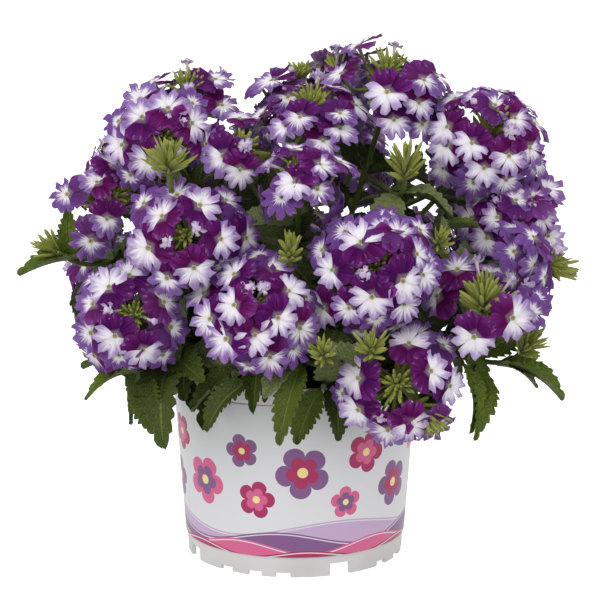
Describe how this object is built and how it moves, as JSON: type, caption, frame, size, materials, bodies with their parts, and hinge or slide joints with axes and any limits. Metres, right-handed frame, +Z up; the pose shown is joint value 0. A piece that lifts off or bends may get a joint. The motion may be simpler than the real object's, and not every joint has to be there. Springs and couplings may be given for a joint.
{
  "type": "potted verbena",
  "caption": "Flowering verbena in a nursery pot: a mound of purple and white flower heads over serrated leaves, rooted in compost, with a printed sleeve.",
  "frame": {"origin": "on the ground under the middle of the pot, at the bottom centre of the whole plant's box", "axes": "+Z up along the pot's axis; -Y is the plant's front; +X is to the right of someone who looks at the front"},
  "size_m": [0.2741, 0.24, 0.2671],
  "materials": {
    "pot_plastic": "satin",
    "sleeve_film": "satin",
    "compost": "matte",
    "leaf_green": "matte",
    "petals": "matte",
    "bud_green": "matte"
  },
  "bodies": {
    "root": {"pot": "pot_plastic", "label_wrap": "sleeve_film", "soil": "compost", "shoot_01": "leaf_green", "shoot_02": "leaf_green", "shoot_03": "leaf_green", "shoot_04": "leaf_green", "shoot_05": "leaf_green", "shoot_06": "leaf_green", "shoot_07": "leaf_green", "shoot_08": "leaf_green", "shoot_09": "leaf_green", "shoot_10": "leaf_green", "shoot_11": "leaf_green", "shoot_12": "leaf_green", "shoot_13": "leaf_green", "shoot_14": "leaf_green", "shoot_15": "leaf_green", "shoot_16": "leaf_green", "shoot_17": "leaf_green", "shoot_18": "leaf_green", "flower_head_01": "petals", "flower_head_02": "petals", "flower_head_03": "petals", "flower_head_04": "petals", "flower_head_05": "petals", "flower_head_06": "petals", "flower_head_07": "petals", "flower_head_08": "petals", "flower_head_09": "petals", "flower_head_10": "petals", "flower_head_11": "petals", "flower_head_12": "petals", "flower_head_13": "petals", "flower_head_14": "petals", "flower_head_15": "petals", "flower_head_16": "petals", "flower_head_17": "petals", "flower_head_18": "petals", "flower_head_19": "petals", "flower_head_20": "petals", "flower_head_21": "petals", "flower_head_22": "petals", "flower_head_23": "petals", "flower_head_24": "petals", "flower_head_25": "petals", "flower_head_26": "petals", "flower_head_27": "petals", "bud_cluster_01": "bud_green", "bud_cluster_02": "bud_green", "bud_cluster_03": "bud_green", "bud_cluster_04": "bud_green", "bud_cluster_05": "bud_green", "bud_cluster_06": "bud_green", "bud_cluster_07": "bud_green", "bud_cluster_08": "bud_green", "bud_cluster_09": "bud_green"}
  },
  "joints": []
}
